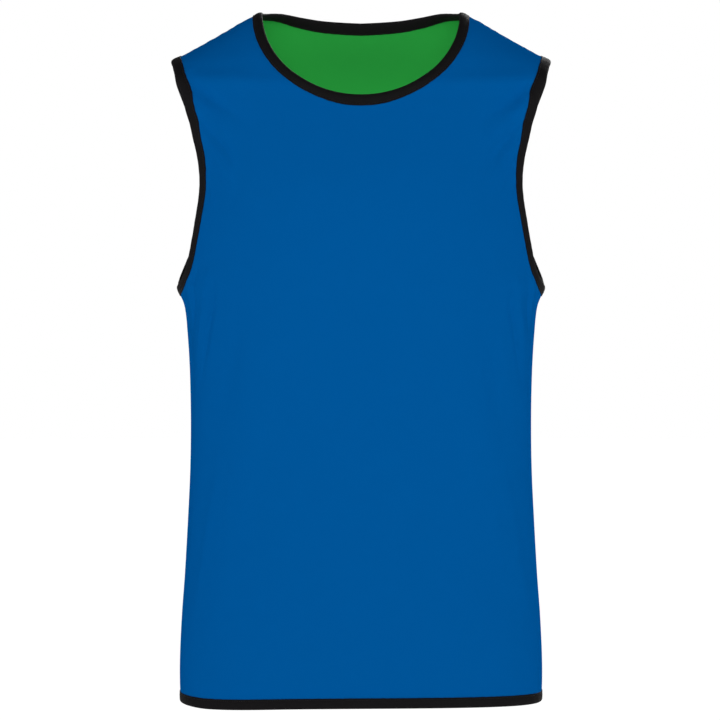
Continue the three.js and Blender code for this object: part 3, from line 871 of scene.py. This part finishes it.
# Each edge's line, node, where its ripples start, and how far its fold stands past the cut edge, as a share
pitch = binding["pitch"]
cutEdges = {
    "neck": (neckLoop(pitch), "neck_binding", 0.3, 1.9),
    "armholeRight": (armLoop(-1, pitch), "armhole_binding_right", 1.1, 1.0),
    "armholeLeft": (armLoop(1, pitch), "armhole_binding_left", 2.6, 1.0),
    "hem": (hemLoop(pitch), "hem_binding", 4.2, 0.75),
}
trims = {}
for name, (loop, node, turn, reach) in cutEdges.items():
    piece, places = makeBinding(name + "Binding", loop, pitch, turn, reach)
    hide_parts(node)
    trims[name] = [piece, makeStitches(name + "Stitches", loop, places)]
print("bindings and stitches made")

trims["neck"] + trims["hem"]
trims["armholeRight"] + trims["armholeLeft"]

# Floor, lamps and white surroundings, in metres and watts
studio = {
    "floorZ": -1.15, "floorSize": 60.0,
    "floorSeen": 1.08, "floorSeenShare": 0.93, "floorGlow": 0.2,    # how white it looks, and its own light
    "ambient": 0.12, "ring": 3.4, "lampSize": 1.7, "lampAim": (0, 0, -0.35),
    # each lamp's degrees round from the front, height and watts
    "lamps": (
        (0, 0.6, 47.0), (65, 0.6, 43.0), (-65, 0.6, 43.0),
        (135, 0.6, 6.0), (-135, 0.6, 6.0), (160, 1.7, 88.0),
    ),
    "insideWatts": 0.15, "insideAt": (0, -0.02, -0.13), "insideSize": 0.05,
}


def makeFloor():
    mesh = bmesh.new()
    bmesh.ops.create_grid(mesh, x_segments=4, y_segments=4, size=studio["floorSize"] / 2)
    bmesh.ops.translate(mesh, verts=mesh.verts[:], vec=(0, 0, studio["floorZ"]))
    data = bpy.data.meshes.new("floor")
    mesh.to_mesh(data)
    mesh.free()
    # pale and even where it is seen, and clear from below
    finish = Finish(bpy.data.materials.new("paleFloor"))
    pale = finish.node("ShaderNodeBsdfPrincipled", {}, {
        "Base Color": (0.8, 0.8, 0.8, 1), "Roughness": 0.9, "Specular IOR Level": 0.0,
        "Emission Color": (1, 1, 1, 1), "Emission Strength": studio["floorGlow"],
    })
    even = finish.node("ShaderNodeEmission", {}, {"Color": (1, 1, 1, 1), "Strength": studio["floorSeen"]})
    clear = finish.node("ShaderNodeBsdfTransparent", {}, {})
    seen = finish.node("ShaderNodeLightPath", {}, {}, "Is Camera Ray")
    under = finish.node("ShaderNodeNewGeometry", {}, {}, "Backfacing")
    above = finish.node("ShaderNodeMixShader", {}, {0: seen * studio["floorSeenShare"], 1: pale, 2: even})
    both = finish.node("ShaderNodeMixShader", {}, {0: under, 1: above, 2: clear})
    data.materials.append(finish.finished(both))
    floor = bpy.data.objects.new("floor", data)
    bpy.context.scene.collection.objects.link(floor)


def makeSurroundings():
    world = bpy.data.worlds.new("surroundings")
    bpy.context.scene.world = world
    finish = Finish(world)
    white = (1, 1, 1, 1)
    lighting = finish.node("ShaderNodeBackground", {}, {"Color": white, "Strength": studio["ambient"]})
    plain = finish.node("ShaderNodeBackground", {}, {"Color": white, "Strength": 1.0})
    seen = finish.node("ShaderNodeLightPath", {}, {}, "Is Camera Ray")
    both = finish.node("ShaderNodeMixShader", {}, {0: seen, 1: lighting, 2: plain})
    finish.node("ShaderNodeOutputWorld", {}, {"Surface": both})


def addSoftLight(name, place, aim, size, watts):
    data = bpy.data.lights.new(name, "AREA")
    data.shape = "SQUARE"
    data.size = size
    data.energy = watts
    lamp = bpy.data.objects.new(name, data)
    lamp.location = place
    lamp.visible_camera = False
    lamp.rotation_mode = "QUATERNION"
    lamp.rotation_quaternion = (Vector(aim) - Vector(place)).to_track_quat("-Z", "Y")
    bpy.context.scene.collection.objects.link(lamp)


makeFloor()
makeSurroundings()
for turn, height, watts in studio["lamps"]:
    angle = math.radians(turn)
    place = (studio["ring"] * math.sin(angle), -studio["ring"] * math.cos(angle), height)
    addSoftLight(f"lamp{turn}", place, studio["lampAim"], studio["lampSize"], watts)
# light that the pale surroundings throw into the bib
glow = bpy.data.lights.new("inside", "POINT")
glow.energy, glow.shadow_soft_size = studio["insideWatts"], studio["insideSize"]
glowLamp = bpy.data.objects.new("inside", glow)
glowLamp.location = studio["insideAt"]
bpy.context.scene.collection.objects.link(glowLamp)
bpy.context.scene.view_settings.view_transform = "Standard"
print("floor and light made")
